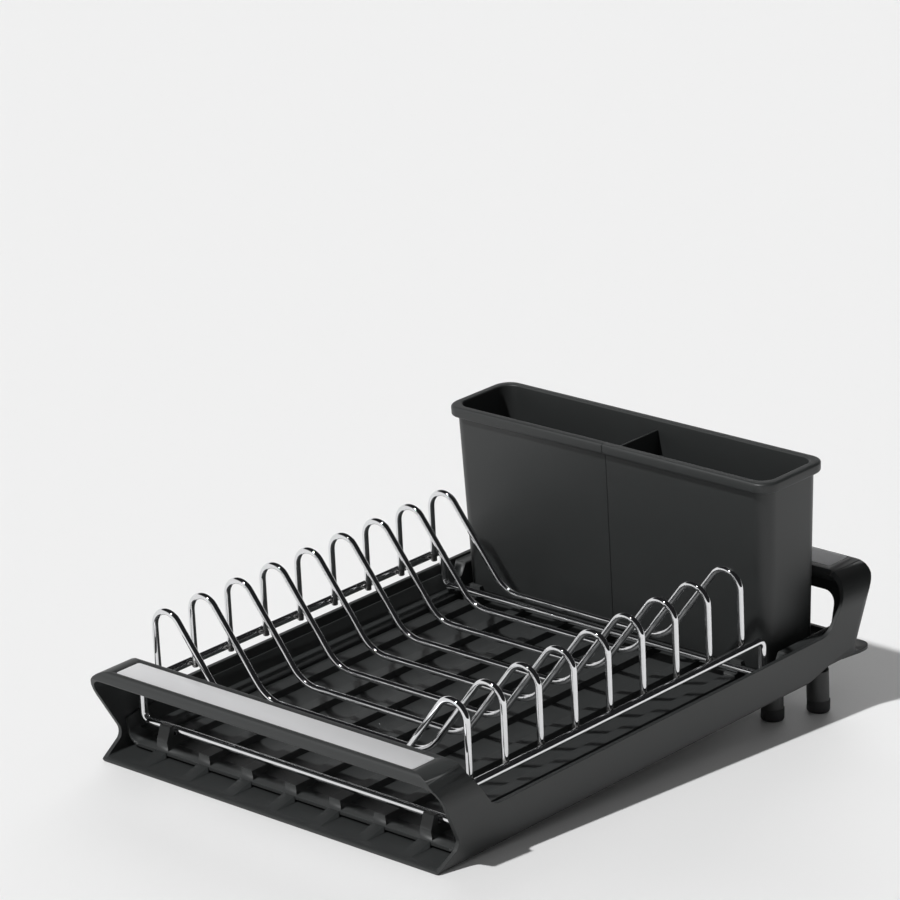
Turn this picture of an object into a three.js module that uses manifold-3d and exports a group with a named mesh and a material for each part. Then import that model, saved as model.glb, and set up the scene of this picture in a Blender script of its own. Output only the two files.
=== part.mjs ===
import * as THREE from 'three';
import { mergeVertices } from 'three/addons/utils/BufferGeometryUtils.js';
import Module from 'manifold-3d';

// Dish drying rack: a moulded drain tray with a carry handle across each end, a loose
// drain pan with seven ribs, a welded wire plate rack and a cutlery caddy with a divider.
// Everything is laid out square to the tray (X across, Y from the drain lip to the back,
// Z up from the underside of the tray) and is then tilted to stand on its rear feet.

// ---------------------------------------------------------------- driving dimensions (mm)

const drainTilt = THREE.MathUtils.degToRad(3.94);
const clearance = 0.3;

// Tray shell.
const trayLength = 399.2;
const baseWidth = 265;
const sideLean = 0.135;
const trayWall = 2.6;
const basePlate = 2.4;
const baseEdgeRadius = 2.5;
const rimHeight = 27.5;
const handleHeight = 59.2;
const handleDepth = 28.4;
const handleThickness = 7;
const handleFace = 6.2;
const frontBarEdge = 3.4;
const backBarEdge = 1;
const handleInnerEdge = 2;
const handleCornerRadius = 18;
const backFaceSetback = 3;
const handleInnerRadius = 9;
const frontRiseLength = 18;
const frontRiseRadius = 12;
const backRiseSetback = 50.1;
const backRiseRadius = 12;
const backCornerRadius = 7;
const frontNeckSetback = 21.4;
const backNeckSetback = 13.6;
const neckHeight = 12;
const neckRadius = 6;
const rearWallRadius = 12;
const lipSetback = 3.4;
const lipEdge = 1.2;
const toeSetback = 3.4;
const toeThickness = 2;
const toeRadius = 8;
const skirtLift = 6.4;
const skirtStepSetback = 68.4;
const skirtStepLength = 21;
const skirtRadius = 14;
const handHoleInset = 22;
const handHoleBottom = 13.4;
const handHoleTop = 36.5;
const handHoleRadius = 8;
const flangeThickness = 2.4;
const flangeFrontGap = 10;
const rampLength = 15.5;
const rampHeight = 6.2;

// Steel strip let into the top of each handle.
const inlayEndGap = 24.1;
const inlayWidth = 18.6;
const inlayThickness = 0.9;
const inlayEdgeGap = 4.4;
const inlayRadius = 1.5;

// Drain pan.
const panSkin = 2.2;
const panFloorTop = 8;
const panFrontSetback = 33;
const panBackSetback = 31.2;
const noseLength = 9;
const noseDrop = 1.7;
const noseRadius = 9;
const ledgeWidth = 10.6;
const upstandTop = 22;
const upstandWall = 1.6;
const ribCount = 7;
const outerRibInset = 28.55;
const ribWidth = 8.4;
const ribDraft = 0.5;
const ribTop = 12.2;
const ribOverhang = 8;
const postFoot = 6.15;
const postTip = 2.8;
const postHeight = 8.2;
const seatLength = 7;
const bayBlockTop = 26.4;
const bayBlockWidth = 8.6;
const bayBlockSlope = 8;
const bayBlockSetback = 92.4;

// Wire plate rack.
const frameWire = 5;
const plateWire = 4;
const railInset = 5.5;
const frameFrontSetback = 34.1;
const frameBackSetback = 102.2;
const crossWireHeight = 17.1;
const railHeight = 40.1;
const frameBend = 5;
const frameLap = 0.5;
const plateWirePitch = 30;
const firstWireInset = 9.35;
const plateFloorHeight = 30.9;
const plateFloorWidth = 126.9;
const plateFloorBend = 24;
const loopSlope = THREE.MathUtils.degToRad(52);
const loopBend = 10.9;
const legDrop = 2;

// Cutlery caddy and its divider.
const caddyEndGap = 13.2;
const caddyEndFlare = 4.6;
const caddyBaseDepth = 48.5;
const caddyFaceFlare = 1.95;
const caddyHeight = 121.5;
const caddyWall = 2.2;
const caddyFloor = 2.4;
const caddyCornerRadius = 9.5;
const caddyCrease = 0.8;
const caddyBackSetback = 39.1;
const rimBand = 6.7;
const rimOverhang = 3.3;
const rimBevel = 1.2;
const slotCount = 5;
const slotPitch = 18;
const slotWidth = 3.4;
const slotLength = 28;
const slotRadius = 1.4;
const dividerThickness = 1.6;
const dividerDrop = 6.2;
const guideWidth = 1.5;
const guideDepth = 2.4;

// Rear feet, two under each side, each with a soft tip.
const footRadius = 6.9;
const footNeckRadius = 4.4;
const footNeckHeight = 3.4;
const footTipHeight = 8;
const footTipRadius = 7.1;
const footTipEdge = 1.8;
const innerFootInset = 17.5;
const innerFootSetback = 79.4;
const outerFootInset = 6.2;
const outerFootSetback = 49.4;

// ---------------------------------------------------------------- places that follow

const halfLength = trayLength / 2;
const lipY = halfLength - lipSetback;
const handleInnerY = halfLength - handleDepth;
const handleUnderside = handleHeight - handleThickness;
const backFaceY = halfLength - backFaceSetback;
const wallAcross = trayWall * Math.hypot(1, sideLean);
const outerX = (z) => baseWidth / 2 + sideLean * z;
const innerX = (z) => outerX(z) - wallAcross;
const groundZ = (y) => -Math.tan(drainTilt) * (y + lipY);

const panFrontY = -halfLength + panFrontSetback;
const panBackY = halfLength - panBackSetback;
const panTipY = panFrontY - noseLength;
const panSideX = (z) => innerX(z) - clearance;
const ledgeInnerX = panSideX(ribTop) - upstandWall - ledgeWidth;
const ledgeUnderside = ribTop - panSkin;
const flangeTop = ledgeUnderside - clearance;
const outerRibX = baseWidth / 2 - outerRibInset;
const ribPitch = 2 * outerRibX / (ribCount - 1);
const ribFrontY = panFrontY - ribOverhang;

const railX = baseWidth / 2 - railInset;
const frameFrontY = -halfLength + frameFrontSetback;
const frameBackY = halfLength - frameBackSetback;
const seatTop = crossWireHeight - frameWire / 2 - clearance;

const caddyBaseZ = ribTop + clearance;
const caddyTopZ = caddyBaseZ + caddyHeight;
const caddyBaseWidth = baseWidth - 2 * caddyEndGap;
const caddyTopWidth = caddyBaseWidth + 2 * caddyEndFlare;
const caddyTopDepth = caddyBaseDepth + 2 * caddyFaceFlare;
const caddyY = halfLength - caddyBackSetback - caddyTopDepth / 2;

// ---------------------------------------------------------------- shape helpers

const wasm = await Module();
wasm.setup();

// A closed three.js geometry as a solid that can be joined and cut.
function toSolid(geometry) {
  const bare = geometry.index ? geometry.toNonIndexed() : geometry.clone();
  bare.deleteAttribute('normal');
  bare.deleteAttribute('uv');
  const merged = mergeVertices(bare, 1e-4);
  return new wasm.Manifold(new wasm.Mesh({
    numProp: 3,
    vertProperties: new Float32Array(merged.attributes.position.array),
    triVerts: new Uint32Array(merged.index.array),
  }));
}

function toGeometry(solid) {
  const mesh = solid.getMesh();
  const geometry = new THREE.BufferGeometry();
  geometry.setAttribute('position', new THREE.BufferAttribute(mesh.vertProperties, 3));
  geometry.setIndex(new THREE.BufferAttribute(mesh.triVerts, 1));
  geometry.computeVertexNormals();
  return geometry;
}

const joined = (solids) => solids.reduce((whole, next) => whole.add(next));

// The turning points of a path or outline, each [point, radius], with the turns drawn as arcs.
function withArcs(corners, closed, degreesPerStep = 15) {
  const points = [];
  corners.forEach(([corner, radius], i) => {
    const atEnd = !closed && (i === 0 || i === corners.length - 1);
    if (atEnd || radius === 0) {
      points.push(corner.clone());
      return;
    }
    const back = corners.at(i - 1)[0].clone().sub(corner).normalize();
    const ahead = corners[(i + 1) % corners.length][0].clone().sub(corner).normalize();
    const halfAngle = Math.acos(back.dot(ahead)) / 2;
    const turn = Math.PI - 2 * halfAngle;
    const inward = back.clone().add(ahead).normalize();
    const along = ahead.clone().sub(back).normalize();
    const centre = corner.clone().addScaledVector(inward, radius / Math.sin(halfAngle));
    const steps = Math.max(2, Math.round(THREE.MathUtils.radToDeg(turn) / degreesPerStep));
    for (let s = 0; s <= steps; s += 1) {
      const angle = turn * (s / steps - 0.5);
      const point = centre.clone().addScaledVector(inward, -radius * Math.cos(angle));
      points.push(point.addScaledVector(along, radius * Math.sin(angle)));
    }
  });
  return points;
}

// A closed outline from [x, y] or [x, y, corner radius] entries.
function outline(entries) {
  return withArcs(entries.map(([x, y, radius = 0]) => [new THREE.Vector2(x, y), radius]), true);
}

// The same outline on both sides of x = 0, from its right half listed bottom to top.
function mirroredOutline(rightHalf) {
  const leftHalf = rightHalf.map(([x, y, radius = 0]) => [-x, y, radius]).reverse();
  return outline([...rightHalf, ...leftHalf]);
}

const roundedBox = (x0, x1, y0, y1, radius) => outline([
  [x0, y0, radius],
  [x1, y0, radius],
  [x1, y1, radius],
  [x0, y1, radius],
]);

// Sweeps an outline straight along one axis. Outlines swept along X are drawn in Y and Z,
// those swept along Y in X and Z, and those swept along Z in X and Y.
function prismGeometry(points, axis, from, to) {
  const shape = new THREE.Shape(points);
  const geometry = new THREE.ExtrudeGeometry(shape, { depth: to - from, bevelEnabled: false });
  const [alongX, alongY, alongZ] = [0, 1, 2].map((k) => new THREE.Vector3().setComponent(k, 1));
  const placing = new THREE.Matrix4();
  if (axis === 'x') {
    placing.makeBasis(alongY, alongZ, alongX).setPosition(from, 0, 0);
  } else if (axis === 'y') {
    placing.makeBasis(alongX, alongZ, alongY.clone().negate()).setPosition(0, to, 0);
  } else {
    placing.makeTranslation(0, 0, from);
  }
  return geometry.applyMatrix4(placing);
}

const prism = (points, axis, from, to) => toSolid(prismGeometry(points, axis, from, to));

function block(x0, x1, y0, y1, z0, z1) {
  const geometry = new THREE.BoxGeometry(x1 - x0, y1 - y0, z1 - z0);
  return toSolid(geometry.translate((x0 + x1) / 2, (y0 + y1) / 2, (z0 + z1) / 2));
}

// Moves every point of a geometry by the given rule.
function reshaped(geometry, move) {
  const positions = geometry.attributes.position;
  const point = new THREE.Vector3();
  for (let i = 0; i < positions.count; i += 1) {
    point.fromBufferAttribute(positions, i);
    move(point);
    positions.setXYZ(i, point.x, point.y, point.z);
  }
  return geometry;
}

// A bent wire's centre line: stands only at the listed points, so straights stay one piece.
class WirePath extends THREE.Curve {
  constructor(points) {
    super();
    this.points = points;
  }

  index(t) {
    return Math.round(t * (this.points.length - 1));
  }

  getPoint(t) {
    return this.points[this.index(t)].clone();
  }

  getPointAt(t) {
    return this.getPoint(t);
  }

  getTangentAt(t) {
    const i = this.index(t);
    const last = this.points.length - 1;
    const tangent = new THREE.Vector3();
    if (i > 0) {
      tangent.add(this.points[i].clone().sub(this.points[i - 1]).normalize());
    }
    if (i < last) {
      tangent.add(this.points[i + 1].clone().sub(this.points[i]).normalize());
    }
    return tangent.normalize();
  }
}

// Round wire bent along [point, bend radius] corners.
function bentWire(corners, diameter) {
  const sides = 8;
  const points = withArcs(corners, false, 18);
  const ring = [];
  for (let s = 0; s < sides; s += 1) {
    const angle = (2 * Math.PI * s) / sides;
    ring.push(new THREE.Vector2(Math.cos(angle), Math.sin(angle)).multiplyScalar(diameter / 2));
  }
  return new THREE.ExtrudeGeometry(new THREE.Shape(ring), {
    steps: points.length - 1,
    extrudePath: new WirePath(points),
  });
}

// ---------------------------------------------------------------- finishes

const charcoal = { color: 0x2b2d2f, roughness: 0.55, metalness: 0 };
const softBlack = { color: 0x1b1c1d, roughness: 0.8, metalness: 0 };
const brushedSteel = { color: 0xd2d3d4, roughness: 0.32, metalness: 1 };
const brightWire = { color: 0xdcdddf, roughness: 0.1, metalness: 1 };

const rack = new THREE.Group();
rack.name = 'dish_drying_rack';

function addPart(name, geometry, finish) {
  const mesh = new THREE.Mesh(geometry, new THREE.MeshStandardMaterial(finish));
  mesh.name = name;
  rack.add(mesh);
}

// ---------------------------------------------------------------- tray shell
// One moulding: thin leaning side walls, a bar across each end, an open front mouth over the
// drain lip, a slanted back wall with a hand hole, and flanges that carry the pan.

const beyond = trayLength;

const frontRiseTop = -handleInnerY;
const frontRiseFoot = frontRiseTop + frontRiseLength;
const backRiseFoot = halfLength - backRiseSetback;
const skirtStepY = halfLength - skirtStepSetback;
const frontNeckY = -halfLength + frontNeckSetback;
const backNeckY = halfLength - backNeckSetback;
const handleFaceFoot = handleHeight - handleFace;

const sideProfile = outline([
  [-lipY, 0],
  [-lipY, lipEdge],
  [frontNeckY, neckHeight, neckRadius],
  [-halfLength, handleFaceFoot],
  [-halfLength, handleHeight, frontBarEdge],
  [frontRiseTop, handleHeight, handleInnerEdge],
  [frontRiseTop, handleUnderside, frontRiseRadius],
  [frontRiseFoot, rimHeight, frontRiseRadius],
  [backRiseFoot, rimHeight, backRiseRadius],
  [handleInnerY, handleHeight, backBarEdge],
  [backFaceY, handleHeight, backBarEdge],
  [backFaceY, skirtLift],
  [skirtStepY + skirtStepLength, skirtLift, skirtRadius],
  [skirtStepY, 0, skirtRadius / 2],
]);

const outerSection = mirroredOutline([
  [outerX(0), 0, baseEdgeRadius],
  [outerX(handleHeight), handleHeight, handleCornerRadius],
]);
const innerSection = mirroredOutline([
  [innerX(basePlate), basePlate, baseEdgeRadius / 2],
  [innerX(handleUnderside), handleUnderside, handleInnerRadius],
]);

// The back wall rises straight to its neck, slants out to the handle and turns into the side
// walls in upright corners. This is all that lies in front of its outer or its inner face.
const backSlope = (backFaceY - backNeckY) / (handleFaceFoot - neckHeight);

function beforeBackWall(inset) {
  const x = outerX(handleFaceFoot) - inset * Math.hypot(1, sideLean);
  const y = backFaceY - inset * Math.hypot(1, backSlope);
  const plan = mirroredOutline([[x, -beyond], [x, y, rearWallRadius - inset]]);
  const drawnIn = (point) => {
    const level = Math.max(point.z, neckHeight) - handleFaceFoot;
    point.x += Math.sign(point.x) * sideLean * level;
    point.y += backSlope * level;
  };
  return joined([
    toSolid(reshaped(prismGeometry(plan, 'z', 0, neckHeight), drawnIn)),
    toSolid(reshaped(prismGeometry(plan, 'z', neckHeight, handleFaceFoot), drawnIn)),
    prism(plan, 'z', handleFaceFoot, handleHeight + 1),
  ]);
}

const outerSolid = prism(outerSection, 'y', -beyond, beyond)
  .intersect(prism(sideProfile, 'x', -beyond, beyond))
  .intersect(beforeBackWall(0));
const hollow = prism(innerSection, 'y', -beyond, beyond).intersect(beforeBackWall(trayWall));

const handHoleX = baseWidth / 2 - handHoleInset;
const handHole = prism(mirroredOutline([
  [handHoleX, handHoleBottom],
  [handHoleX, handHoleTop, handHoleRadius],
]), 'y', backNeckY - handleDepth, halfLength);

// The back bar's front is upright and meets the side walls, which keep their thickness round
// the bar's rounded ends, in upright corners.
const roofUnderside = handleHeight - trayWall;
const roofRadius = handleCornerRadius - trayWall;
const openRoofX = innerX(roofUnderside) - roofRadius;
const behindBar = prism(mirroredOutline([
  [innerX(rimHeight), rimHeight],
  [innerX(roofUnderside), roofUnderside, roofRadius],
  [openRoofX, roofUnderside],
  [openRoofX, handleHeight + 1],
]), 'y', 0, handleInnerY).intersect(prism(mirroredOutline([
  [outerX(handleHeight), 0],
  [outerX(handleHeight) - trayWall, handleInnerY, backCornerRadius],
]), 'z', rimHeight, handleHeight + 1));

const inlayX = outerX(handleHeight) - inlayEndGap;
const inlayY = halfLength - inlayEdgeGap - inlayWidth / 2;
const inlayRecess = (y) => {
  const [reachX, reachY] = [inlayX + clearance, inlayWidth / 2 + clearance];
  const plan = roundedBox(-reachX, reachX, y - reachY, y + reachY, inlayRadius + clearance);
  return prism(plan, 'z', handleHeight - inlayThickness - clearance, handleHeight + 1);
};

const flanges = [-1, 1].map((side) => {
  const inner = side * (ledgeInnerX + panSkin + clearance);
  const outer = side * (innerX(flangeTop) + trayWall / 2);
  const [x0, x1] = [Math.min(inner, outer), Math.max(inner, outer)];
  const front = panFrontY + flangeFrontGap;
  return block(x0, x1, front, panBackY + clearance, flangeTop - flangeThickness, flangeTop);
});

const toe = prism(mirroredOutline([
  [outerX(skirtLift) - trayWall, panBackY + clearance],
  [outerX(skirtLift), backNeckY - trayWall],
  [outerX(skirtLift), halfLength - toeSetback, toeRadius],
]), 'z', skirtLift - toeThickness, skirtLift);

// Drip ramps: one below the end of every pan rib, running out to a point on the lip.
const rampBackY = panTipY - clearance;
const rampFrontY = rampBackY - rampLength;
const ramps = Array.from({ length: ribCount }, (_, i) => {
  const x = outerRibX - i * ribPitch;
  return prism(outline([
    [rampFrontY, basePlate / 2],
    [rampBackY, basePlate / 2],
    [rampBackY, rampHeight],
    [rampFrontY, basePlate],
  ]), 'x', x - ribWidth / 2, x + ribWidth / 2);
});

const shell = joined([outerSolid.subtract(hollow).subtract(handHole).subtract(behindBar)
  .subtract(inlayRecess(-inlayY)).subtract(inlayRecess(inlayY)), ...flanges, toe, ...ramps]);
addPart('tray_shell', toGeometry(shell), charcoal);

// ---------------------------------------------------------------- handle inlays
// Two plain steel strips set flush in the bars.

for (const [name, y] of [['front_handle_inlay', -inlayY], ['back_handle_inlay', inlayY]]) {
  const plan = roundedBox(-inlayX, inlayX, y - inlayWidth / 2, y + inlayWidth / 2, inlayRadius);
  const strip = prism(plan, 'z', handleHeight - inlayThickness, handleHeight);
  addPart(name, toGeometry(strip), brushedSteel);
}

// ---------------------------------------------------------------- drain pan
// A loose insert: floor with ribs along it, side ledges that sit on the tray's flanges, thin
// upstands against the side walls, and a nose that drips onto the lip.

const panSection = mirroredOutline([
  [ledgeInnerX + panSkin, panFloorTop - panSkin],
  [ledgeInnerX + panSkin, ledgeUnderside],
  [panSideX(ledgeUnderside), ledgeUnderside],
  [panSideX(upstandTop), upstandTop],
  [panSideX(upstandTop) - upstandWall, upstandTop],
  [panSideX(ribTop) - upstandWall, ribTop],
  [ledgeInnerX, ribTop],
  [ledgeInnerX, panFloorTop],
]);
const noseFloor = panFloorTop - panSkin;
const noseOuter = [panSideX(noseFloor), noseFloor, noseRadius];
const noseInner = [panSideX(noseFloor) - upstandWall, panFloorTop, noseRadius - upstandWall];
const noseSection = mirroredOutline([
  noseOuter,
  [panSideX(upstandTop), upstandTop],
  [panSideX(upstandTop) - upstandWall, upstandTop],
  noseInner,
]);
const nose = reshaped(prismGeometry(noseSection, 'y', panTipY, panFrontY), (point) => {
  point.z -= noseDrop * (panFrontY - point.y) / noseLength;
});

// Short walls that close the ends of the ledges above the nose.
const ledgeEnds = [-1, 1].map((side) => prism(outline([
  [side * ledgeInnerX, noseFloor],
  [side * panSideX(noseFloor), noseFloor, noseRadius],
  [side * panSideX(upstandTop), upstandTop],
  [side * (panSideX(upstandTop) - upstandWall), upstandTop],
  [side * (panSideX(ribTop) - upstandWall), ribTop],
  [side * ledgeInnerX, ribTop],
]), 'y', panFrontY - panSkin / 2, panFrontY + panSkin / 2));

const ribSection = (x) => outline([
  [x - ribWidth / 2 - ribDraft, noseFloor + ribDraft],
  [x + ribWidth / 2 + ribDraft, noseFloor + ribDraft],
  [x + ribWidth / 2, ribTop],
  [x - ribWidth / 2, ribTop],
]);
const ribs = Array.from({ length: ribCount }, (_, i) => (
  prism(ribSection(outerRibX - i * ribPitch), 'y', ribFrontY, panBackY)
));

// Seats under the two cross wires on the outer ribs, each with a stop post outside the rack.
const seatsAndPosts = [[-1, frameFrontY], [1, frameBackY]].flatMap(([end, y]) => {
  const postY = y + end * (frameWire / 2 + clearance);
  const post = outline([
    [postY, ribTop - 1],
    [postY + end * postFoot, ribTop - 1],
    [postY + end * postFoot, ribTop],
    [postY + end * postTip, ribTop + postHeight],
    [postY, ribTop + postHeight],
  ]);
  return [-outerRibX, outerRibX].flatMap((x) => {
    const [x0, x1] = [x - ribWidth / 2, x + ribWidth / 2];
    const seat = block(x0, x1, y - seatLength / 2, y + seatLength / 2, ribTop - 1, seatTop);
    return [seat, prism(post, 'x', x0, x1)];
  });
});

// Blocks that fill the sides beside the caddy.
const bayFrontY = halfLength - bayBlockSetback;
const bayBlocks = [-1, 1].map((side) => {
  const inner = panSideX(bayBlockTop) - bayBlockWidth;
  const section = outline([
    [side * inner, ribTop - 1],
    [side * (panSideX(ribTop) - clearance), ribTop - 1],
    [side * (panSideX(bayBlockTop) - clearance / 2), bayBlockTop],
    [side * inner, bayBlockTop, 1],
  ]);
  const bar = prismGeometry(section, 'y', bayFrontY, panBackY);
  return toSolid(reshaped(bar, (point) => {
    if (point.y < bayFrontY + 1) {
      point.y += bayBlockSlope * (point.z - ribTop) / (bayBlockTop - ribTop);
    }
  }));
});

const pan = joined([
  prism(panSection, 'y', panFrontY, panBackY),
  toSolid(nose),
  ...ledgeEnds,
  ...ribs,
  ...seatsAndPosts,
  ...bayBlocks,
]);
addPart('drain_pan', toGeometry(pan), charcoal);

// ---------------------------------------------------------------- plate rack
// A closed loop of thick wire: two rails joined at each end by a low cross wire.

const corner = (x, y, z, radius = 0) => [new THREE.Vector3(x, y, z), radius];
const halfLoop = bentWire([
  corner(-frameLap, frameFrontY, crossWireHeight),
  corner(railX, frameFrontY, crossWireHeight, frameBend),
  corner(railX, frameFrontY, railHeight, frameBend),
  corner(railX, frameBackY, railHeight, frameBend),
  corner(railX, frameBackY, crossWireHeight, frameBend),
  corner(-frameLap, frameBackY, crossWireHeight),
], frameWire);
const rightHalf = toSolid(halfLoop);
addPart('rack_frame', toGeometry(rightHalf.add(rightHalf.mirror([1, 0, 0]))), brightWire);

// Plate wires: up the inner side of a rail, over a tight loop, down a slope and level across.
const legX = railX - (frameWire + plateWire) / 2 - clearance;
const legFoot = railHeight - legDrop;
const slopeFootX = plateFloorWidth / 2;
const peakZ = plateFloorHeight + Math.tan(loopSlope) * (legX - slopeFootX);

const lastWireRun = frameBackY - frameFrontY - 2 * firstWireInset;
const plateWireCount = Math.floor(lastWireRun / plateWirePitch) + 1;
for (let i = 0; i < plateWireCount; i += 1) {
  const y = frameFrontY + firstWireInset + i * plateWirePitch;
  const wire = bentWire([
    corner(-legX, y, legFoot),
    corner(-legX, y, peakZ, loopBend),
    corner(-slopeFootX, y, plateFloorHeight, plateFloorBend),
    corner(slopeFootX, y, plateFloorHeight, plateFloorBend),
    corner(legX, y, peakZ, loopBend),
    corner(legX, y, legFoot),
  ], plateWire);
  addPart(`plate_wire_${i + 1}`, toGeometry(toSolid(wire)), brightWire);
}

// ---------------------------------------------------------------- cutlery caddy
// A tapered open box with a rolled rim, a faint fold down the middle of its front, drain slots
// in its floor and guide ribs that hold the divider.

function caddyPlan(halfWidth, depth, radius) {
  const front = caddyY - depth / 2;
  const back = caddyY + depth / 2;
  return outline([
    [0, front + caddyCrease],
    [halfWidth, front, radius],
    [halfWidth, back, radius],
    [-halfWidth, back, radius],
    [-halfWidth, front, radius],
  ]);
}

// Narrows a prism drawn at the caddy's top size toward its base.
function tapered(geometry) {
  return reshaped(geometry, (point) => {
    const down = (caddyTopZ - point.z) / caddyHeight;
    point.x *= 1 - down * (1 - caddyBaseWidth / caddyTopWidth);
    point.y -= caddyY;
    point.y *= 1 - down * (1 - caddyBaseDepth / caddyTopDepth);
    point.y += caddyY;
  });
}

const caddyOuter = caddyPlan(caddyTopWidth / 2, caddyTopDepth, caddyCornerRadius);
const caddyInner = caddyPlan(caddyTopWidth / 2 - caddyWall, caddyTopDepth - 2 * caddyWall,
  caddyCornerRadius - caddyWall);
const caddyBody = toSolid(tapered(prismGeometry(caddyOuter, 'z', caddyBaseZ, caddyTopZ)));
const caddyHollow = toSolid(tapered(
  prismGeometry(caddyInner, 'z', caddyBaseZ + caddyFloor, caddyTopZ + 1),
));

const rimReach = rimOverhang - rimBevel;
const rimShape = new THREE.Shape(caddyPlan(caddyTopWidth / 2 + rimReach,
  caddyTopDepth + 2 * rimReach, caddyCornerRadius + rimReach));
const rim = toSolid(new THREE.ExtrudeGeometry(rimShape, {
  depth: rimBand - 2 * rimBevel,
  bevelThickness: rimBevel,
  bevelSize: rimBevel,
  bevelSegments: 2,
}).translate(0, 0, caddyTopZ - rimBand + rimBevel));

const drainSlots = [-1, 1].flatMap((side) => Array.from({ length: slotCount }, (_, i) => {
  const x = side * slotPitch * (i + 1);
  const [x0, x1] = [x - slotWidth / 2, x + slotWidth / 2];
  const [y0, y1] = [caddyY - slotLength / 2, caddyY + slotLength / 2];
  const plan = roundedBox(x0, x1, y0, y1, slotRadius);
  return prism(plan, 'z', caddyBaseZ - 1, caddyBaseZ + caddyFloor + 1);
}));

const guideX = dividerThickness / 2 + clearance + guideWidth / 2;
const guideTopZ = caddyTopZ - dividerDrop;
const guideBlanks = [-guideX, guideX].flatMap((x) => [-1, 1].map((end) => {
  const wallY = caddyY + end * caddyTopDepth / 2;
  const tipY = wallY - end * (caddyWall + guideDepth);
  const [y0, y1] = [Math.min(wallY, tipY), Math.max(wallY, tipY)];
  return tapered(new THREE.BoxGeometry(guideWidth, y1 - y0, guideTopZ - caddyBaseZ - caddyFloor / 2)
    .translate(x, (y0 + y1) / 2, (guideTopZ + caddyBaseZ + caddyFloor / 2) / 2));
}));
const guides = joined(guideBlanks.map(toSolid)).intersect(caddyBody);

const caddy = joined([caddyBody, rim]).subtract(caddyHollow).add(guides)
  .subtract(joined(drainSlots));
addPart('cutlery_caddy', toGeometry(caddy), charcoal);

const dividerBaseZ = caddyBaseZ + caddyFloor + clearance;
const dividerReach = (z) => {
  const down = (caddyTopZ - z) / caddyHeight;
  const narrowing = 1 - down * (1 - caddyBaseDepth / caddyTopDepth);
  return (caddyTopDepth / 2 - caddyWall) * narrowing - clearance;
};
const divider = prism(outline([
  [caddyY - dividerReach(dividerBaseZ) + caddyCrease, dividerBaseZ],
  [caddyY + dividerReach(dividerBaseZ), dividerBaseZ],
  [caddyY + dividerReach(guideTopZ), guideTopZ],
  [caddyY - dividerReach(guideTopZ) + caddyCrease, guideTopZ],
]), 'x', -dividerThickness / 2, dividerThickness / 2);
addPart('caddy_divider', toGeometry(divider), charcoal);

// ---------------------------------------------------------------- rear feet
// Posts square to the tray, trimmed level above soft tips that stand upright on the ground.

function levelTip(x, y) {
  const profile = outline([
    [0, 0],
    [footTipRadius, 0, footTipEdge],
    [footTipRadius, footTipHeight],
    [0, footTipHeight],
  ]);
  return toSolid(new THREE.LatheGeometry(profile, 24).rotateX(Math.PI / 2)
    .rotateX(-drainTilt).translate(x, y, groundZ(y)));
}

const feet = [
  ['inner', outerX(0) - innerFootInset, halfLength - innerFootSetback, -clearance],
  ['outer', outerX(0) - outerFootInset, halfLength - outerFootSetback,
    flangeTop - flangeThickness - clearance],
];
for (const [place, x, y, top] of feet) {
  for (const [hand, side] of [['left', -1], ['right', 1]]) {
    const bottom = groundZ(y) + footTipHeight + clearance;
    const rise = new THREE.LatheGeometry([
      new THREE.Vector2(0, bottom - footTipRadius),
      new THREE.Vector2(footRadius, bottom - footTipRadius),
      new THREE.Vector2(footRadius, top - footNeckHeight),
      new THREE.Vector2(footNeckRadius, top - footNeckHeight),
      new THREE.Vector2(footNeckRadius, top),
      new THREE.Vector2(0, top),
    ], 24).rotateX(Math.PI / 2).translate(side * x, y, 0);
    const below = new THREE.BoxGeometry(4 * footRadius, 4 * footRadius, 4 * footRadius)
      .translate(0, 0, -2 * footRadius).rotateX(-drainTilt).translate(side * x, y, bottom);
    addPart(`${hand}_${place}_foot`, toGeometry(toSolid(rise).subtract(toSolid(below))), charcoal);
    addPart(`${hand}_${place}_foot_tip`, toGeometry(levelTip(side * x, y)), softBlack);
  }
}

// ---------------------------------------------------------------- standing on its feet
// Tilted about X and centred over the origin, with the lip and the foot tips on Z = 0.

for (const mesh of rack.children) {
  mesh.geometry.rotateX(drainTilt);
}
const bounds = new THREE.Box3().setFromObject(rack);
const centre = bounds.getCenter(new THREE.Vector3());
for (const mesh of rack.children) {
  mesh.geometry.translate(-centre.x, -centre.y, -bounds.min.z);
}

export default rack;
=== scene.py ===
import math

import bmesh
import bpy
from mathutils import Matrix, Vector


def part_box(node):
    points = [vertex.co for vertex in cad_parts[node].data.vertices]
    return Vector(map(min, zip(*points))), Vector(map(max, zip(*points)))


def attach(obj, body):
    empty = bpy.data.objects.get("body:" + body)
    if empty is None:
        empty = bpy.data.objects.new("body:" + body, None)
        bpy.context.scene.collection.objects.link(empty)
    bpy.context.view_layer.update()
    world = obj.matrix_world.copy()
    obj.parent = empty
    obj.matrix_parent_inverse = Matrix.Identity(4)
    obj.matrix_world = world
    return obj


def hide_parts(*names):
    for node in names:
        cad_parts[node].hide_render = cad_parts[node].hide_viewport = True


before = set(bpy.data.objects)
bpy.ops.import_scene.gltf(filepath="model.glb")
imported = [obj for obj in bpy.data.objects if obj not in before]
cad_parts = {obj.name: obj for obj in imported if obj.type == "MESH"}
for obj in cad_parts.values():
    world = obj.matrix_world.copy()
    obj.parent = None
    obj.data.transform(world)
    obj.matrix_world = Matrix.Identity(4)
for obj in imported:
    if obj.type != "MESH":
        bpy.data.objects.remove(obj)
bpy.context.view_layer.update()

mm = 0.001

# ------------------------------------------------------------------ table, lamp and camera
# A pale seamless sheet on a table, a hard lamp high in front of the rack and a little to its
# left, and a white room with a pale window at the rear left that fills the shadows. A dark
# hood leans over the stand from the right, and only metal shows it.

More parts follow.
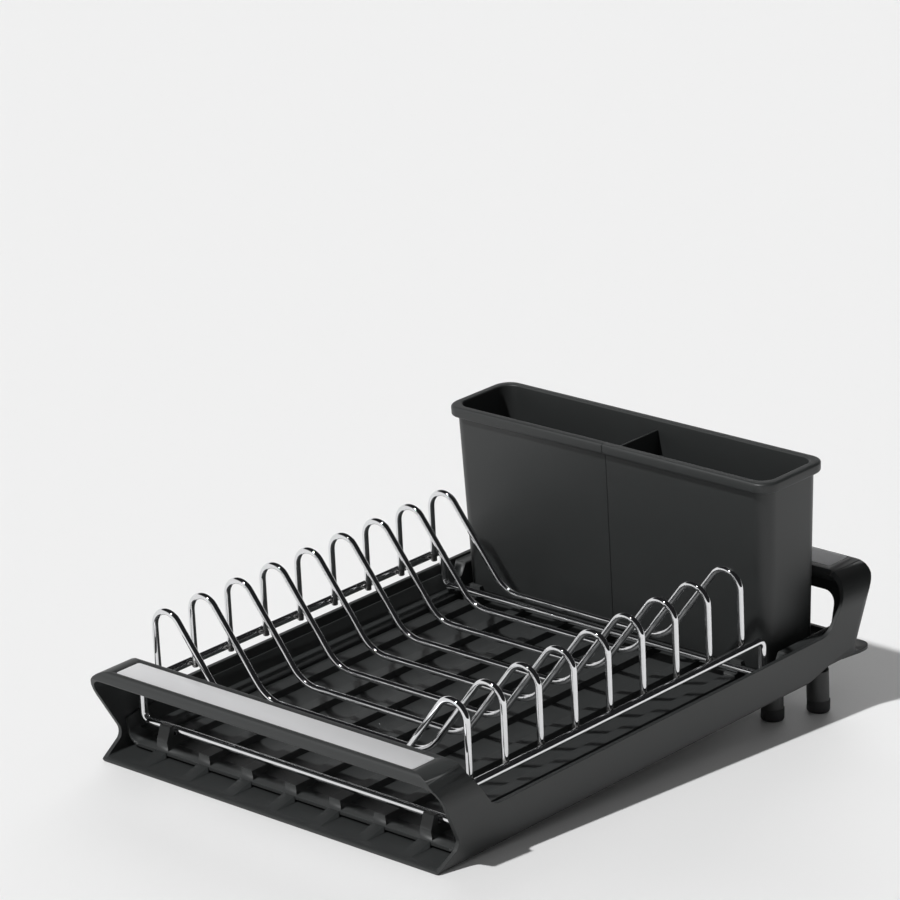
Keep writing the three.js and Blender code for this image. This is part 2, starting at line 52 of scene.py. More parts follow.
sheet_tone = (0.84, 0.84, 0.84, 1.0)
sheet_reach = 30.0
room_tone = (0.86, 0.86, 0.86, 1.0)
hood_tone = (0.015, 0.015, 0.016, 1.0)
hood_lean = (0.30, 0.05, 0.95)
hood_edge = (0.08, 0.20)
window_way = (-0.60, 0.76, 0.25)
window_edge = (0.925, 0.95)
soft_level = 0.2
window_level = 6.0
lamp_level = 2.8
lamp_heading = Vector((0.20, 0.741, -1.0))


class Flow:
    """One value running through a material's nodes. Sums and products on it add nodes."""

    def __init__(self, tree, socket=None):
        self.tree = tree
        self.socket = socket

    def node(self, kind, settings=None, inputs=None, out=0):
        made = self.tree.nodes.new(kind)
        for name, value in (settings or {}).items():
            if name == "stops":
                for stop, (place, tone) in zip(made.color_ramp.elements, value):
                    stop.position, stop.color = place, tone
            else:
                setattr(made, name, value)
        for name, value in (inputs or {}).items():
            if isinstance(value, Flow):
                self.tree.links.new(value.socket, made.inputs[name])
            else:
                made.inputs[name].default_value = value
        return Flow(self.tree, made.outputs[out] if made.outputs else None)

    def work(self, operation, first, second=0.0):
        return self.node("ShaderNodeMath", {"operation": operation}, {0: first, 1: second})

    def __add__(self, other):
        return self.work("ADD", self, other)

    def __sub__(self, other):
        return self.work("SUBTRACT", self, other)

    def __rsub__(self, other):
        return self.work("SUBTRACT", other, self)

    def __mul__(self, other):
        return self.work("MULTIPLY", self, other)

    __radd__ = __add__
    __rmul__ = __mul__

    def clamped(self, low, high):
        limits = {"Value": self, "From Min": low, "From Max": high}
        return self.node("ShaderNodeMapRange", None, limits)

    def blend(self, first, second):
        settings = {"data_type": "RGBA"}
        return self.node("ShaderNodeMix", settings, {0: self, 6: first, 7: second}, out=2)


def fresh_nodes(owner):
    owner.use_nodes = True
    owner.node_tree.nodes.clear()
    return Flow(owner.node_tree)


world = bpy.data.worlds.new("pale_room")
bpy.context.scene.world = world
start = fresh_nodes(world)
heading = start.node("ShaderNodeTexCoord", out="Generated")
into_hood = start.node("ShaderNodeVectorMath", {"operation": "DOT_PRODUCT"},
                       {0: heading, 1: hood_lean}, out="Value")
into_window = start.node("ShaderNodeVectorMath", {"operation": "DOT_PRODUCT"},
                         {0: heading, 1: window_way}, out="Value")
window = into_window.clamped(*window_edge)
hooded = into_hood.clamped(*hood_edge)
seen = start.node("ShaderNodeLightPath", out="Is Camera Ray")
mirrored = start.node("ShaderNodeLightPath", out="Is Glossy Ray")
room = hooded.blend(room_tone, hood_tone)
shown = mirrored.blend(room_tone, room)
direct = (seen + mirrored).clamped(0.0, 1.0)
strength = direct + (1 - direct) * (window * window_level + soft_level)
sky = start.node("ShaderNodeBackground", None, {"Color": shown, "Strength": strength})
start.node("ShaderNodeOutputWorld", None, {"Surface": sky})

bm = bmesh.new()
bmesh.ops.create_circle(bm, cap_ends=True, segments=64, radius=sheet_reach)
mesh = bpy.data.meshes.new("sheet")
bm.to_mesh(mesh)
bm.free()
sheet = bpy.data.objects.new("sheet", mesh)
bpy.context.collection.objects.link(sheet)
sheet_paper = bpy.data.materials.new("sheet_paper")
start = fresh_nodes(sheet_paper)
grain = start.node("ShaderNodeTexNoise", None, {"Scale": 40.0, "Detail": 3.0})
paper = start.node("ShaderNodeBsdfPrincipled", None, {
    "Base Color": sheet_tone,
    "Roughness": grain * 0.06 + 0.82,
    "Specular IOR Level": 0.0,
})
start.node("ShaderNodeOutputMaterial", None, {"Surface": paper})
mesh.materials.append(sheet_paper)

lamp = bpy.data.lights.new("lamp", "SUN")
lamp.energy = lamp_level
lamp.angle = math.radians(2.5)
lamp_stand = bpy.data.objects.new("lamp", lamp)
lamp_stand.rotation_mode = "QUATERNION"
lamp_stand.rotation_quaternion = lamp_heading.to_track_quat("-Z", "Y")
bpy.context.collection.objects.link(lamp_stand)

camera_place = Vector((1700.71, -1918.71, 953.41)) * mm
camera_ahead = Vector((-0.641254, 0.709977, -0.291078))
camera_right = Vector((0.742120, 0.670267, -0.000048))
camera = bpy.data.cameras.new("camera")
camera.sensor_width = 36.0
camera.lens = 183.32
camera.clip_start = 0.05
camera.clip_end = 100.0
camera_stand = bpy.data.objects.new("camera", camera)
camera_up = camera_right.cross(camera_ahead)
turn = Matrix((camera_right, camera_up, -camera_ahead)).transposed()
camera_stand.matrix_world = Matrix.Translation(camera_place) @ turn.to_4x4()
bpy.context.collection.objects.link(camera_stand)
bpy.context.scene.camera = camera_stand
bpy.context.scene.view_settings.view_transform = "Standard"

# ------------------------------------------------------------------ handle inlays
# Two steel strips, cut from brushed sheet with clipped corners and lightly broken edges,
# pressed into a shallow recess along the top of each carry bar.

tray_length = 399.2
bar_top = 59.2
drain_tilt = math.radians(3.94)
strip_length = 232.8
strip_width = 18.6
strip_thickness = 0.9
strip_setback = 4.4
strip_corner = 1.5
strip_edge = 0.2
strip_y = tray_length / 2 - strip_setback - strip_width / 2

# The tray leans down towards its lip. This turns a place in the tray, in millimetres, into
# a place on the table, in metres.
lean = Matrix.Rotation(drain_tilt, 4, "X")
low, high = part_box("back_handle_inlay")
strip_centre = Vector((0, strip_y, bar_top - strip_thickness / 2)) * mm
stand = Matrix.Translation((low + high) / 2 - lean @ strip_centre) @ lean @ Matrix.Scale(mm, 4)


def dress_piece(bm, name, body, node, material, bend_limit):
    mesh = bpy.data.meshes.new(name)
    bm.to_mesh(mesh)
    bm.free()
    mesh.materials.append(material)
    mesh.shade_smooth()
    mesh.set_sharp_from_angle(angle=math.radians(bend_limit))
    piece = bpy.data.objects.new(name, mesh)
    bpy.context.collection.objects.link(piece)
    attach(piece, body)
    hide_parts(node)
    return piece


def finish_piece(bm, name, body, node, material, bend_limit=40):
    """Stands a piece made in the tray's millimetres on the table."""
    bmesh.ops.recalc_face_normals(bm, faces=bm.faces)
    bmesh.ops.transform(bm, matrix=stand, verts=bm.verts)
    return dress_piece(bm, name, body, node, material, bend_limit)


brushed_steel = bpy.data.materials.new("brushed_steel")
start = fresh_nodes(brushed_steel)
place = start.node("ShaderNodeTexCoord", out="Object")
along = start.node("ShaderNodeMapping", None, {"Vector": place, "Scale": (18.0, 5200.0, 60.0)})
strokes = start.node("ShaderNodeTexNoise", None, {
    "Vector": along,
    "Scale": 1.0,
    "Detail": 4.0,
    "Roughness": 0.6,
})
clouds = start.node("ShaderNodeTexNoise", None, {"Vector": place, "Scale": 26.0})
tone = strokes.blend((0.86, 0.86, 0.87, 1.0), (0.92, 0.92, 0.93, 1.0))
relief = start.node("ShaderNodeBump", None, {
    "Height": strokes,
    "Strength": 0.05,
    "Distance": 0.00001,
})
steel = start.node("ShaderNodeBsdfPrincipled", None, {
    "Base Color": tone,
    "Metallic": 0.6,
    "Roughness": strokes * 0.10 + clouds * 0.04 + 0.40,
    "Normal": relief,
})
start.node("ShaderNodeOutputMaterial", None, {"Surface": steel})

for end, side in (("front", -1), ("back", 1)):
    bm = bmesh.new()
    bmesh.ops.create_grid(bm, x_segments=1, y_segments=1, size=0.5)
    bmesh.ops.scale(bm, vec=(strip_length, strip_width, 1), verts=bm.verts)
    bmesh.ops.translate(bm, vec=(0, side * strip_y, bar_top - strip_thickness), verts=bm.verts)
    bmesh.ops.bevel(bm, geom=bm.verts[:], offset=strip_corner, affect="VERTICES", segments=6,
                    profile=0.5, material=-1)
    raised = bmesh.ops.extrude_face_region(bm, geom=bm.faces[:])["geom"]
    top = [part for part in raised if isinstance(part, bmesh.types.BMVert)]
    bmesh.ops.translate(bm, vec=(0, 0, strip_thickness), verts=top)
    rim = [e for e in bm.edges if all(v in top for v in e.verts)]
    bmesh.ops.bevel(bm, geom=rim, offset=strip_edge, affect="EDGES", segments=2, profile=0.5,
                    material=-1)
    finish_piece(bm, f"{end}_steel_strip", "tray", f"{end}_handle_inlay", brushed_steel)

# ------------------------------------------------------------------ tray shell
# One charcoal polypropylene moulding with a fine spark-eroded skin: leaning side walls, a bar
# across each end, the drip lip at the front and the hand hole at the back.


def moulded_plastic(name, slot_tone, edge_radius):
    """Charcoal plastic with a fine eroded skin, faint flow marks and softened edges."""
    material = bpy.data.materials.new(name)
    start = fresh_nodes(material)
    place = start.node("ShaderNodeTexCoord", out="Object")
    flow_marks = start.node("ShaderNodeTexNoise", None, {
        "Vector": place,
        "Scale": 22.0,
        "Detail": 3.0,
        "Distortion": 0.6,
    })
    skin = start.node("ShaderNodeTexNoise", None, {
        "Vector": place,
        "Scale": 2600.0,
        "Detail": 2.0,
        "Roughness": 0.55,
    })
    pits = start.node("ShaderNodeTexVoronoi", None, {"Vector": place, "Scale": 1900.0})
    darker = tuple(0.88 * part for part in slot_tone)
    lighter = tuple(1.12 * part for part in slot_tone)
    mottle = flow_marks * 0.7 + skin * 0.3
    tone = mottle.blend((*darker, 1.0), (*lighter, 1.0))
    softened = start.node("ShaderNodeBevel", {"samples": 6}, {"Radius": edge_radius * mm})
    relief = start.node("ShaderNodeBump", None, {
        "Height": skin + pits * 0.5,
        "Strength": 0.35,
        "Distance": 0.00004,
        "Normal": softened,
    })
    plastic = start.node("ShaderNodeBsdfPrincipled", None, {
        "Base Color": tone,
        "Roughness": flow_marks * 0.06 + skin * 0.08 + 0.40,
        "Specular IOR Level": 0.5,
        "Normal": relief,
    })
    start.node("ShaderNodeOutputMaterial", None, {"Surface": plastic})
    return material


tray_plastic = moulded_plastic("tray_plastic", (0.026, 0.028, 0.028), 0.6)


def moulded_body(node, name, body, material, bend_limit=32):
    """A merged copy of a moulding's solid with clean faces and shading that follows its arcs."""
    bm = bmesh.new()
    bm.from_mesh(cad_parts[node].data)
    bmesh.ops.remove_doubles(bm, verts=bm.verts, dist=0.00001)
    bmesh.ops.dissolve_limit(bm, angle_limit=math.radians(0.5), verts=bm.verts, edges=bm.edges)
    bmesh.ops.triangulate(bm, faces=[f for f in bm.faces if len(f.verts) > 4])
    piece = dress_piece(bm, name, body, node, material, bend_limit)
    weighting = piece.modifiers.new("even_faces", "WEIGHTED_NORMAL")
    weighting.keep_sharp = True
    weighting.weight = 100


moulded_body("tray_shell", "tray_moulding", "tray", tray_plastic)

# ------------------------------------------------------------------ drain pan
# A second moulding that drops in: a floor with seven square ribs, ledges on the tray's
# flanges, upstands against the walls and two pairs of stops that locate the wire rack.

# Same charcoal plastic as the tray, painted a little lighter: painted light that stands in for
# fill light reaching the pan's floor between the walls.
pan_plastic = moulded_plastic("pan_plastic", (0.030, 0.032, 0.032), 0.5)
moulded_body("drain_pan", "drain_pan_moulding", "tray", pan_plastic)

# ------------------------------------------------------------------ rack frame
# A closed loop of heavy steel wire, bent cold into two rails with a low cross wire at each
# end, butt welded in the middle of a cross wire, then polished and chrome plated.

frame_wire = 5.0
frame_width = 254.0
frame_length = 262.9
frame_front_setback = 34.1
frame_front_y = -tray_length / 2 + frame_front_setback
frame_back_y = frame_front_y + frame_length
cross_wire_height = 17.1
rail_height = 40.1
frame_bend = 5.0
crust_depth = 0.0012
dull_from_middle = (0.110, 0.112)


def plated_wire(name, dull_below=None):
    """Bright chrome with faint ripples, dull where a weld was plated over."""
    material = bpy.data.materials.new(name)
    start = fresh_nodes(material)
    place = start.node("ShaderNodeTexCoord", out="Object")
    clouds = start.node("ShaderNodeTexNoise", None,
                        {"Vector": place, "Scale": 60.0, "Detail": 2.0})
    ripple = start.node("ShaderNodeTexNoise", None,
                        {"Vector": place, "Scale": 260.0, "Detail": 1.0})
    tone = clouds.blend((0.74, 0.75, 0.76, 1.0), (0.82, 0.82, 0.83, 1.0))
    roughness = clouds * 0.03 + 0.035
    height = ripple
    if dull_below is not None:
        out_from_middle = start.node("ShaderNodeSeparateXYZ", None, {0: place}, out="X")
        out_from_middle = out_from_middle.work("ABSOLUTE", out_from_middle)
        across_tray = (0.0, -math.sin(drain_tilt), math.cos(drain_tilt))
        above = start.node("ShaderNodeVectorMath", {"operation": "DOT_PRODUCT"},
                           {0: place, 1: across_tray}, out="Value")
        crust = start.node("ShaderNodeTexNoise", None,
                           {"Vector": place, "Scale": 1500.0, "Detail": 3.0})
        low_down = 1 - (above + crust * crust_depth).clamped(dull_below,
                                                            dull_below + crust_depth)
        dull = low_down * out_from_middle.clamped(*dull_from_middle)
        tone = dull.blend(tone, crust.blend((0.16, 0.16, 0.16, 1.0), (0.62, 0.61, 0.60, 1.0)))
        roughness = roughness + dull * 0.16
        height = ripple * 0.3 + dull * crust
    relief = start.node("ShaderNodeBump", None, {
        "Height": height,
        "Strength": 0.25,
        "Distance": 0.00006 if dull_below is None else 0.0003,
    })
    chrome = start.node("ShaderNodeBsdfPrincipled", None, {
        "Base Color": tone,
        "Metallic": 1.0,
        "Roughness": roughness,
        "Normal": relief,
    })
    start.node("ShaderNodeOutputMaterial", None, {"Surface": chrome})
    return material


rail_top = stand @ Vector((0, 0, rail_height + frame_wire / 2))
weld_level = rail_top.z * math.cos(drain_tilt) - rail_top.y * math.sin(drain_tilt)
bright_chrome = plated_wire("bright_chrome")
welded_chrome = plated_wire("welded_chrome", weld_level + 0.0004)


class WireBender:
    """Feeds round wire out along its heading, and bends it over a round former."""

    def __init__(self, place, heading, diameter, sides=20):
        self.bm = bmesh.new()
        self.place = Vector(place)
        self.heading = Vector(heading).normalized()
        turn = self.heading.to_track_quat("Z", "Y").to_matrix().to_4x4()
        ring = bmesh.ops.create_circle(self.bm, segments=sides, radius=diameter / 2,
                                       matrix=Matrix.Translation(self.place) @ turn)["verts"]
        self.edges = list({edge for vert in ring for edge in vert.link_edges})

    def feed(self, length, swell=1.0):
        grown = bmesh.ops.extrude_edge_only(self.bm, edges=self.edges)["geom"]
        verts = [part for part in grown if isinstance(part, bmesh.types.BMVert)]
        self.edges = [part for part in grown if isinstance(part, bmesh.types.BMEdge)
                      and all(vert in verts for vert in part.verts)]
        bmesh.ops.translate(self.bm, vec=self.heading * length, verts=verts)
        self.place = self.place + self.heading * length
        if swell != 1.0:
            about = Matrix.Translation(-self.place)
            bmesh.ops.scale(self.bm, vec=(swell,) * 3, space=about, verts=verts)

    def bend(self, new_heading, radius):
        new_heading = Vector(new_heading).normalized()
        angle = self.heading.angle(new_heading)
        axis = self.heading.cross(new_heading).normalized()
        centre = self.place + axis.cross(self.heading) * radius
        steps = max(4, round(math.degrees(angle) / 6))
        spun = bmesh.ops.spin(self.bm, geom=self.edges, cent=centre, axis=axis, angle=angle,
                              steps=steps, use_merge=False, use_duplicate=False)
        self.edges = [part for part in spun["geom_last"]
                      if isinstance(part, bmesh.types.BMEdge)]
        self.place = centre + Matrix.Rotation(angle, 3, axis) @ (self.place - centre)
        self.heading = new_heading

    def follow(self, corners):
        """Runs through [place, bend radius] corners and stops at the last."""
        for (corner, radius), (after, _) in zip(corners, [*corners[1:], (None, 0)]):
            corner = Vector(corner)
            if after is None:
                self.feed((corner - self.place).length)
                return
            ahead = (Vector(after) - corner).normalized()
            setback = radius * math.tan(self.heading.angle(ahead) / 2)
            self.feed((corner - self.place).length - setback)
            self.bend(ahead, radius)


rail_x = frame_width / 2
frame_bender = WireBender((0, frame_front_y, cross_wire_height), (1, 0, 0), frame_wire)
frame_bender.follow([
    ((rail_x, frame_front_y, cross_wire_height), frame_bend),
    ((rail_x, frame_front_y, rail_height), frame_bend),
    ((rail_x, frame_back_y, rail_height), frame_bend),
    ((rail_x, frame_back_y, cross_wire_height), frame_bend),
    ((-rail_x, frame_back_y, cross_wire_height), frame_bend),
    ((-rail_x, frame_back_y, rail_height), frame_bend),
    ((-rail_x, frame_front_y, rail_height), frame_bend),
    ((-rail_x, frame_front_y, cross_wire_height), frame_bend),
    ((0, frame_front_y, cross_wire_height), 0),
])
bmesh.ops.remove_doubles(frame_bender.bm, verts=frame_bender.bm.verts, dist=0.01)
finish_piece(frame_bender.bm, "welded_frame", "plate_rack", "rack_frame", bright_chrome)

# ------------------------------------------------------------------ plate wires
# Nine lighter wires, each bent up from a rail, over a tight loop, down a slope and level
# across to the other side. Both ends are resistance welded to the inner sides of the rails,
# where the plating is dull over a small bead.

plate_wire = 4.0
plate_wire_count = 9
plate_wire_pitch = 30.0
first_wire_inset = 9.35
plate_floor_height = 30.9
plate_floor_width = 126.9
plate_floor_bend = 24.0
loop_slope = math.radians(52)
loop_bend = 10.9
leg_drop = 2.0
wire_end_taper = 0.8
wire_end_length = 0.3
weld_gap = 0.3
weld_bead = 2.3
weld_bead_squash = (0.75, 1.0, 0.85, 1.0)

leg_x = rail_x - (frame_wire + plate_wire) / 2 - weld_gap
leg_foot = rail_height - leg_drop
slope_foot_x = plate_floor_width / 2
peak_z = plate_floor_height + math.tan(loop_slope) * (leg_x - slope_foot_x)

for i in range(plate_wire_count):
    y = frame_front_y + first_wire_inset + i * plate_wire_pitch
    bender = WireBender((-leg_x, y, leg_foot), (0, 0, 1), plate_wire * wire_end_taper)
    bender.feed(wire_end_length, swell=1 / wire_end_taper)
    bender.follow([
        ((-leg_x, y, peak_z), loop_bend),
        ((-slope_foot_x, y, plate_floor_height), plate_floor_bend),
        ((slope_foot_x, y, plate_floor_height), plate_floor_bend),
        ((leg_x, y, peak_z), loop_bend),
        ((leg_x, y, leg_foot + wire_end_length), 0),
    ])
    bender.feed(wire_end_length, swell=wire_end_taper)
    bmesh.ops.holes_fill(bender.bm, edges=bender.bm.edges, sides=0)
    for side in (-1, 1):
        bead_place = Vector((side * (leg_x + plate_wire / 2), y, rail_height + weld_bead / 3))
        bead = Matrix.Translation(bead_place) @ Matrix.Diagonal(weld_bead_squash)
        bmesh.ops.create_uvsphere(bender.bm, u_segments=16, v_segments=10,
                                  radius=weld_bead / 2, matrix=bead)
    finish_piece(bender.bm, f"bent_plate_wire_{i + 1}", "plate_rack", f"plate_wire_{i + 1}",
                 welded_chrome)

# ------------------------------------------------------------------ cutlery caddy
# A tall tapered box, moulded in one with its rolled rim from the same charcoal plastic. The
# mould parted down the middle of the front and left a fine line. Slots in the floor drain it,
# and two pairs of ribs inside guide the divider.

pan_rib_top = 12.2
part_gap = 0.3
caddy_base_width = 238.6
caddy_end_flare = 4.6
caddy_base_depth = 48.5
caddy_face_flare = 1.95
caddy_height = 121.5
caddy_wall = 2.2
caddy_floor = 2.4
caddy_corner = 9.5
caddy_fold = 0.8
caddy_back_setback = 39.1
rim_band = 6.7
rim_overhang = 3.3
rim_tuck = 0.6
rim_lower_bevel = 1.2
rim_outer_roll = 1.7
rim_inner_roll = 0.9
base_round = 1.5
seam_width = 0.7
seam_depth = 0.5
slot_count = 5
slot_pitch = 18.0
slot_width = 3.4
slot_length = 28.0
slot_corner = 1.4
guide_width = 1.5
guide_depth = 2.4
guide_bite = 0.6
divider_thickness = 1.6
divider_drop = 6.2

caddy_base_z = pan_rib_top + part_gap
caddy_top_z = caddy_base_z + caddy_height
caddy_top_width = caddy_base_width + 2 * caddy_end_flare
caddy_top_depth = caddy_base_depth + 2 * caddy_face_flare
caddy_y = tray_length / 2 - caddy_back_setback - caddy_top_depth / 2


class WallRoller:
    """Carries a ring of edges up a wall, over its rim and down again inside."""

    def __init__(self, bm, size_at, z, out):
        self.bm = bm
        self.size_at = size_at
        self.edges = [edge for edge in bm.edges if edge.is_boundary]
        self.verts = bm.verts[:]
        self.size = Vector(size_at(z))
        self.z = 0.0
        self.place(z, out)

    def place(self, z, out):
        """Sets the ring at a height, and out from the wall's outer face there."""
        size = Vector(self.size_at(z)) + Vector((2 * out, 2 * out))
        across = (size.x / self.size.x, size.y / self.size.y, 1)
        bmesh.ops.scale(self.bm, vec=across, verts=self.verts)
        bmesh.ops.translate(self.bm, vec=(0, 0, z - self.z), verts=self.verts)
        self.size = size
        self.z = z

    def run(self, z, out):
        grown = bmesh.ops.extrude_edge_only(self.bm, edges=self.edges)["geom"]
        self.verts = [part for part in grown if isinstance(part, bmesh.types.BMVert)]
        self.edges = [part for part in grown if isinstance(part, bmesh.types.BMEdge)
                      and all(vert in self.verts for vert in part.verts)]
        self.place(z, out)

    def turn(self, z, out, radius, start_angle, end_angle, steps=5):
        """Rolls an edge: angles in degrees, 0 outward and 90 up, about a centre."""
        for i in range(steps + 1):
            angle = math.radians(start_angle + (end_angle - start_angle) * i / steps)
            self.run(z + radius * math.sin(angle), out + radius * math.cos(angle))

    def close(self):
        bmesh.ops.contextual_create(self.bm, geom=self.edges)


def caddy_size(z):
    down = (caddy_top_z - z) / caddy_height
    return (caddy_top_width - 2 * caddy_end_flare * down,
            caddy_top_depth - 2 * caddy_face_flare * down)


bm = bmesh.new()
bmesh.ops.create_grid(bm, x_segments=1, y_segments=1, size=0.5)
bmesh.ops.scale(bm, vec=(*caddy_size(caddy_base_z), 1), verts=bm.verts)
for x in (-seam_width / 2, 0, seam_width / 2):
    bmesh.ops.bisect_plane(bm, geom=[*bm.verts, *bm.edges, *bm.faces], plane_co=(x, 0, 0),
                           plane_no=(1, 0, 0))
corners = [vert for vert in bm.verts if abs(vert.co.x) > seam_width]
bmesh.ops.bevel(bm, geom=corners, offset=caddy_corner, affect="VERTICES", segments=12,
                profile=0.5, material=-1)
seam = [vert for vert in bm.verts if abs(vert.co.x) < seam_width and vert.co.y < 0]
bmesh.ops.translate(bm, vec=(0, caddy_fold, 0), verts=seam)
seam_line = [vert for vert in seam if abs(vert.co.x) < seam_width / 4]
bmesh.ops.translate(bm, vec=(0, seam_depth, 0), verts=seam_line)

roller = WallRoller(bm, caddy_size, caddy_base_z, -base_round)
roller.turn(caddy_base_z + base_round, -base_round, base_round, -80, 0)
under_rim = caddy_top_z - rim_band
roller.turn(under_rim - rim_tuck, rim_tuck, rim_tuck, 180, 90)
roller.turn(under_rim + rim_lower_bevel, rim_overhang - rim_lower_bevel, rim_lower_bevel,
            -90, 0)
roller.turn(caddy_top_z - rim_outer_roll, rim_overhang - rim_outer_roll, rim_outer_roll,
            0, 90, steps=7)
roller.turn(caddy_top_z - rim_inner_roll, rim_inner_roll - caddy_wall, rim_inner_roll,
            90, 180)
roller.turn(caddy_base_z + caddy_floor + base_round, -caddy_wall - base_round, base_round,
            0, -90)
roller.close()

guide_top = caddy_top_z - divider_drop
guide_height = guide_top - caddy_base_z - caddy_floor / 2
for x in (-1, 1):
    for end in (-1, 1):
        across = end * (caddy_top_depth / 2 - caddy_wall + (guide_bite - guide_depth) / 2)
        centre = Vector((x * (divider_thickness / 2 + part_gap + guide_width / 2), across,
                         guide_top - guide_height / 2))
        shape = Matrix.Translation(centre) @ Matrix.Diagonal(
            (guide_width, guide_depth + guide_bite, guide_height, 1))
        guide = bmesh.ops.create_cube(bm, size=1.0, matrix=shape)["verts"]
        feet = [vert for vert in guide if vert.co.z < centre.z]
        bmesh.ops.translate(bm, vec=(0, -end * caddy_face_flare, 0), verts=feet)
bmesh.ops.translate(bm, vec=(0, caddy_y, 0), verts=bm.verts)

caddy_plastic = moulded_plastic("caddy_plastic", (0.026, 0.028, 0.028), 0.15)
caddy = finish_piece(bm, "caddy_moulding", "caddy", "cutlery_caddy", caddy_plastic,
                     bend_limit=25)

bm = bmesh.new()
for side in (-1, 1):
    for i in range(slot_count):
        shape = Matrix.Translation((side * slot_pitch * (i + 1), caddy_y, caddy_base_z))
        shape = shape @ Matrix.Diagonal((slot_width, slot_length, 4 * caddy_floor, 1))
        punch = bmesh.ops.create_cube(bm, size=1.0, matrix=shape)["verts"]
        upright = [edge for edge in bm.edges if all(vert in punch for vert in edge.verts)
                   and abs(edge.verts[0].co.z - edge.verts[1].co.z) > 1]
        bmesh.ops.bevel(bm, geom=upright, offset=slot_corner, affect="EDGES", segments=5,
                        profile=0.5, material=-1)
bmesh.ops.transform(bm, matrix=stand, verts=bm.verts)
mesh = bpy.data.meshes.new("slot_punches")
bm.to_mesh(mesh)
bm.free()
punches = bpy.data.objects.new("slot_punches", mesh)
bpy.context.collection.objects.link(punches)
punching = caddy.modifiers.new("drain_slots", "BOOLEAN")
punching.operation = "DIFFERENCE"
punching.solver = "EXACT"
punching.object = punches
settled = caddy.evaluated_get(bpy.context.evaluated_depsgraph_get())
punched = bpy.data.meshes.new_from_object(settled)
caddy.modifiers.remove(punching)
caddy.data = punched
bpy.data.objects.remove(punches)
bpy.data.meshes.remove(mesh)

# ------------------------------------------------------------------ caddy divider
# A thin flat plate with eased edges that slides down between the caddy's guides.

divider_edge = 0.35
divider_foot = caddy_base_z + caddy_floor + part_gap
divider_top = guide_top

bm = bmesh.new()
inner_depth = caddy_size(divider_top)[1] - 2 * caddy_wall - 2 * part_gap - caddy_fold
shape = Matrix.Translation((0, caddy_y + caddy_fold / 2, (divider_foot + divider_top) / 2))
shape = shape @ Matrix.Diagonal(
    (divider_thickness, inner_depth, divider_top - divider_foot, 1))
bmesh.ops.create_cube(bm, size=1.0, matrix=shape)
lower = [vert for vert in bm.verts if vert.co.z < caddy_base_z + caddy_height / 2]
narrowing = caddy_size(divider_foot)[1] - caddy_size(divider_top)[1]
bmesh.ops.scale(bm, vec=(1, (inner_depth + narrowing) / inner_depth, 1), verts=lower,
                space=Matrix.Translation((0, -caddy_y - caddy_fold / 2, 0)))
bmesh.ops.bevel(bm, geom=bm.edges[:], offset=divider_edge, affect="EDGES", segments=3, profile=0.5,
                material=-1)
divider_plastic = moulded_plastic("divider_plastic", (0.026, 0.028, 0.028), 0.15)
finish_piece(bm, "divider_plate", "divider", "caddy_divider", divider_plastic)

# ------------------------------------------------------------------ rear feet
# Two hollow moulded posts under each side, pushed by their necks into the tray, each with a
# soft black tip that is cut level to stand flat on the table.

foot_radius = 6.9
foot_neck_radius = 4.4
foot_neck_height = 3.4
tip_height = 8.0
tip_radius = 7.1
tip_edge = 1.8
lip_setback = 3.4
base_width = 265.0
flange_underside = 7.3
inner_foot_inset = 17.5
inner_foot_setback = 79.4
outer_foot_inset = 6.2
outer_foot_setback = 49.4
lip_y = tray_length / 2 - lip_setback
inner_foot = (base_width / 2 - inner_foot_inset, tray_length / 2 - inner_foot_setback,
              -part_gap)
outer_foot = (base_width / 2 - outer_foot_inset, tray_length / 2 - outer_foot_setback,
              flange_underside - part_gap)

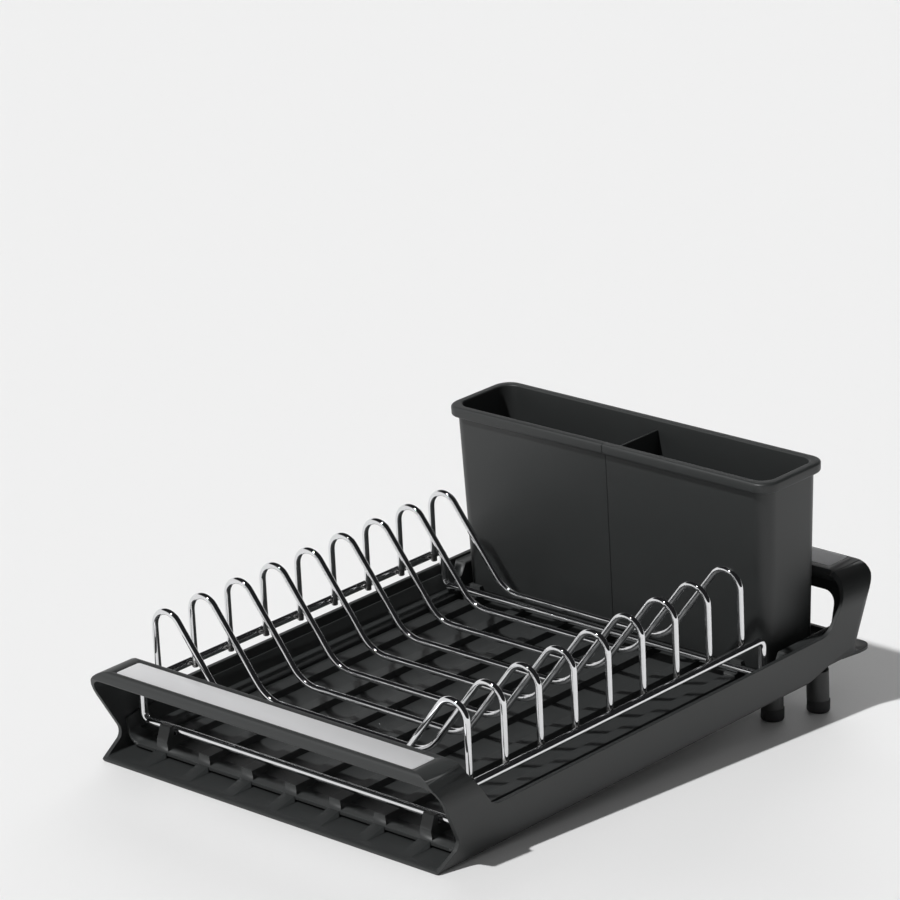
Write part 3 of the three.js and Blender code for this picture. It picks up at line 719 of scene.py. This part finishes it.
foot_plastic = moulded_plastic("foot_plastic", (0.020, 0.021, 0.021), 0.2)
soft_rubber = bpy.data.materials.new("soft_rubber")
start = fresh_nodes(soft_rubber)
place = start.node("ShaderNodeTexCoord", out="Object")
grain = start.node("ShaderNodeTexNoise", None, {"Vector": place, "Scale": 1800.0, "Detail": 3.0})
scuffs = start.node("ShaderNodeTexNoise", None, {"Vector": place, "Scale": 160.0})
relief = start.node("ShaderNodeBump", None, {
    "Height": grain,
    "Strength": 0.4,
    "Distance": 0.00005,
})
rubber = start.node("ShaderNodeBsdfPrincipled", None, {
    "Base Color": scuffs.blend((0.010, 0.010, 0.011, 1.0), (0.018, 0.018, 0.019, 1.0)),
    "Roughness": scuffs * 0.12 + 0.62,
    "Normal": relief,
})
start.node("ShaderNodeOutputMaterial", None, {"Surface": rubber})

for spot, (x, y, top) in (("inner", inner_foot), ("outer", outer_foot)):
    for hand, side in (("left", -1), ("right", 1)):
        ground = -math.tan(drain_tilt) * (y + lip_y)
        bottom = ground + tip_height
        bm = bmesh.new()
        bmesh.ops.create_circle(bm, cap_ends=True, segments=64, radius=foot_radius)
        roller = WallRoller(bm, lambda z: (2 * foot_radius, 2 * foot_radius), bottom, -0.4)
        cut = bm.verts[:]
        roller.run(bottom, 0)
        cut += roller.verts
        shoulder = top - foot_neck_height
        roller.turn(shoulder - 0.5, -0.5, 0.5, 0, 90)
        roller.run(shoulder, foot_neck_radius - foot_radius)
        roller.turn(top - 0.4, foot_neck_radius - foot_radius - 0.4, 0.4, 0, 90)
        roller.close()
        for vert in cut:
            vert.co.z -= math.tan(drain_tilt) * vert.co.y
        bmesh.ops.translate(bm, vec=(side * x, y, 0), verts=bm.verts)
        finish_piece(bm, f"{hand}_{spot}_post", "tray", f"{hand}_{spot}_foot", foot_plastic)

        bm = bmesh.new()
        bmesh.ops.create_circle(bm, cap_ends=True, segments=64, radius=tip_radius)
        roller = WallRoller(bm, lambda z: (2 * tip_radius, 2 * tip_radius), 0, -tip_edge)
        roller.turn(tip_edge, -tip_edge, tip_edge, -80, 0, steps=7)
        roller.turn(tip_height - 0.3, -0.3, 0.3, 0, 90, steps=3)
        roller.close()
        upright = Matrix.Translation((side * x, y, ground)) @ Matrix.Rotation(-drain_tilt, 4, "X")
        bmesh.ops.transform(bm, matrix=upright, verts=bm.verts)
        finish_piece(bm, f"{hand}_{spot}_rubber", "tray", f"{hand}_{spot}_foot_tip",
                     soft_rubber)
